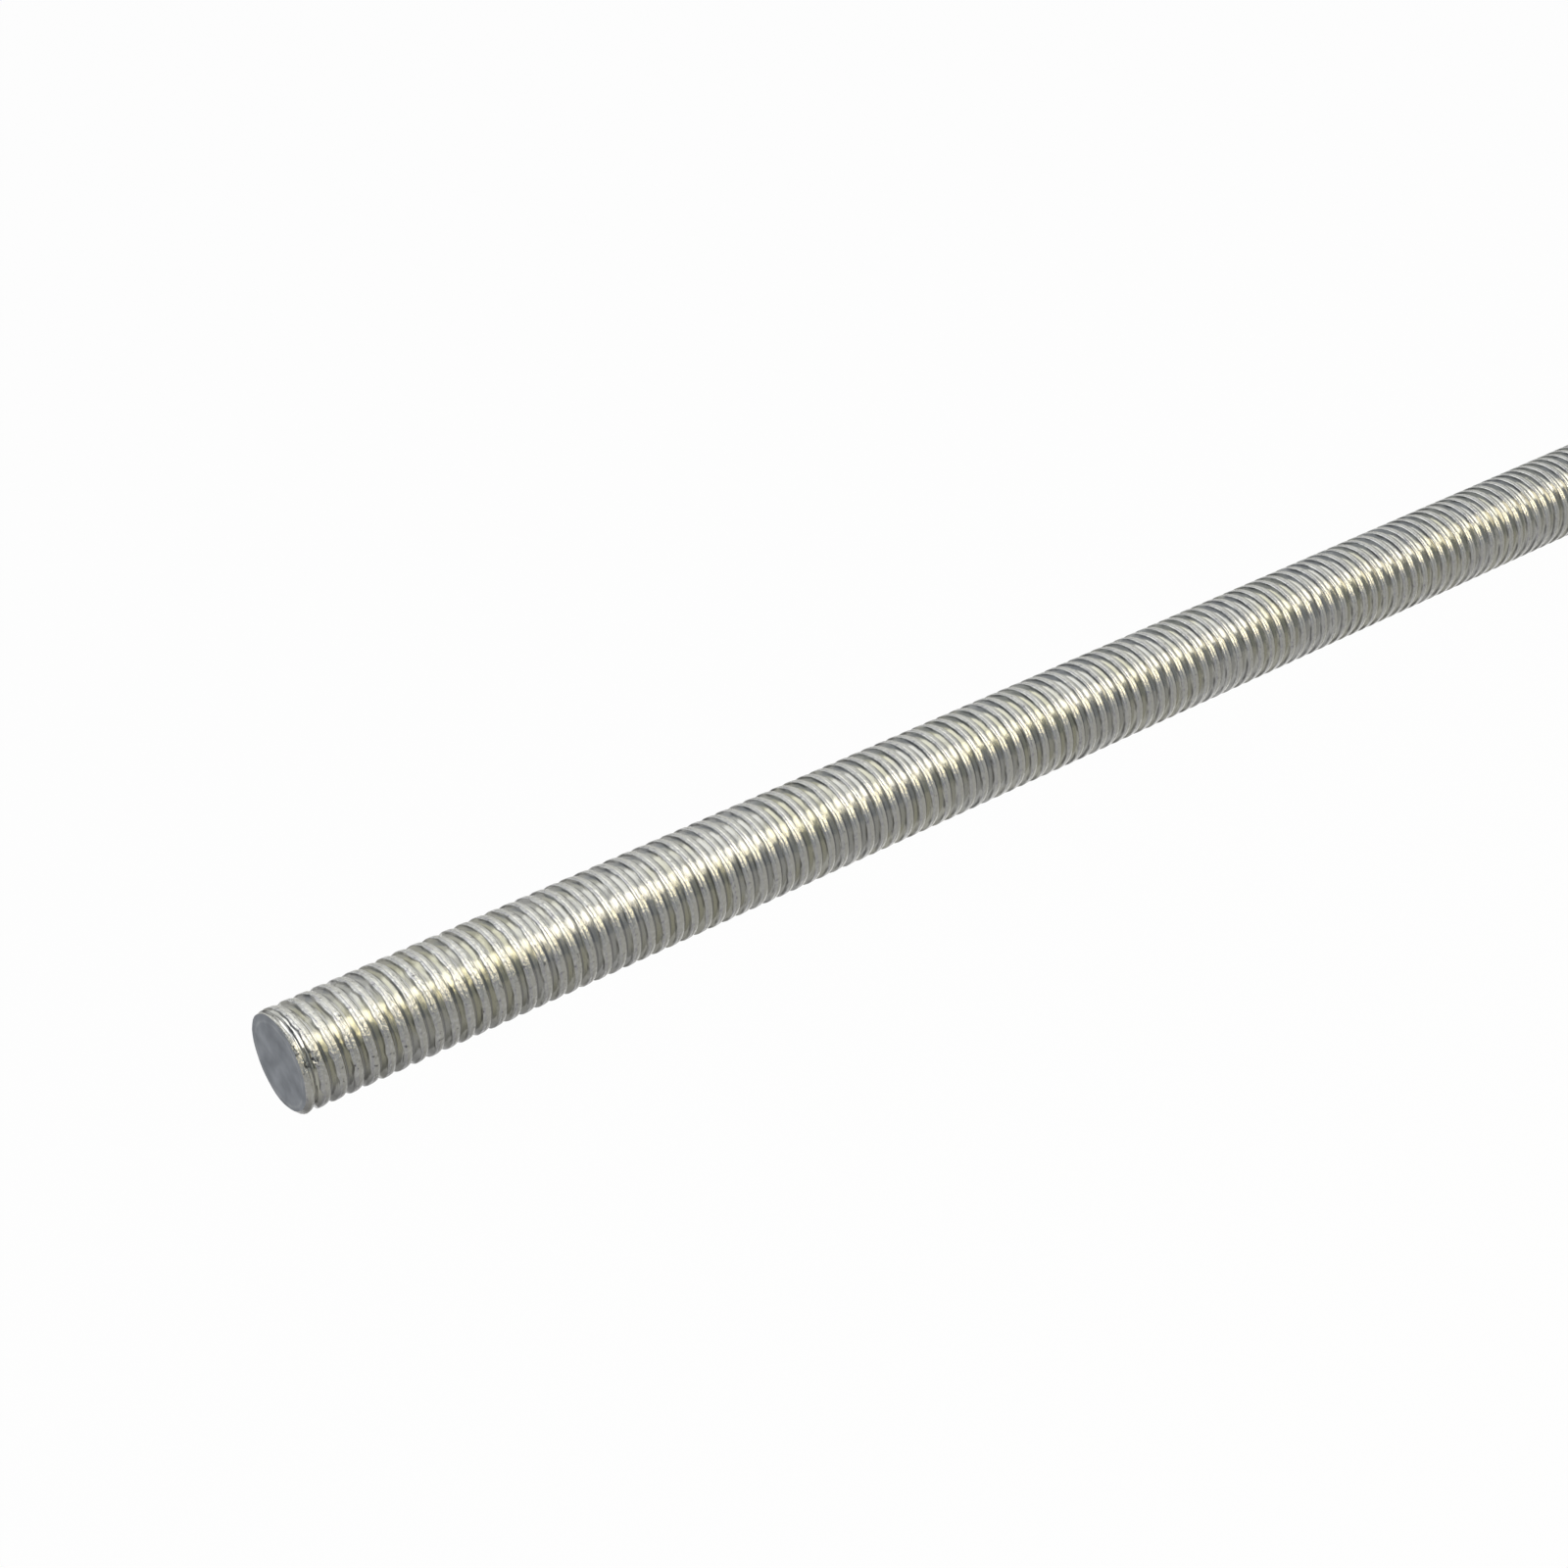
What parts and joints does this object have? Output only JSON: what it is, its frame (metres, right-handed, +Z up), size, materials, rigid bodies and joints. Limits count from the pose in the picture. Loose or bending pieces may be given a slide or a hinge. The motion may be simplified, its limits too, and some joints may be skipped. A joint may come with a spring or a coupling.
{
  "type": "threaded rod",
  "caption": "Straight zinc-plated steel bar with a coarse metric thread along its whole length and plain sawn ends.",
  "frame": {"origin": "centre of the first sawn end face", "axes": "+X along the bar's axis, from the first end towards the second; +Z up"},
  "size_m": [0.2, 0.006, 0.006],
  "materials": {
    "zinc_plated_steel": "bright zinc plate with a pale yellow-green passivation tint"
  },
  "bodies": {
    "root": {"threaded_rod": "zinc_plated_steel"}
  },
  "joints": []
}
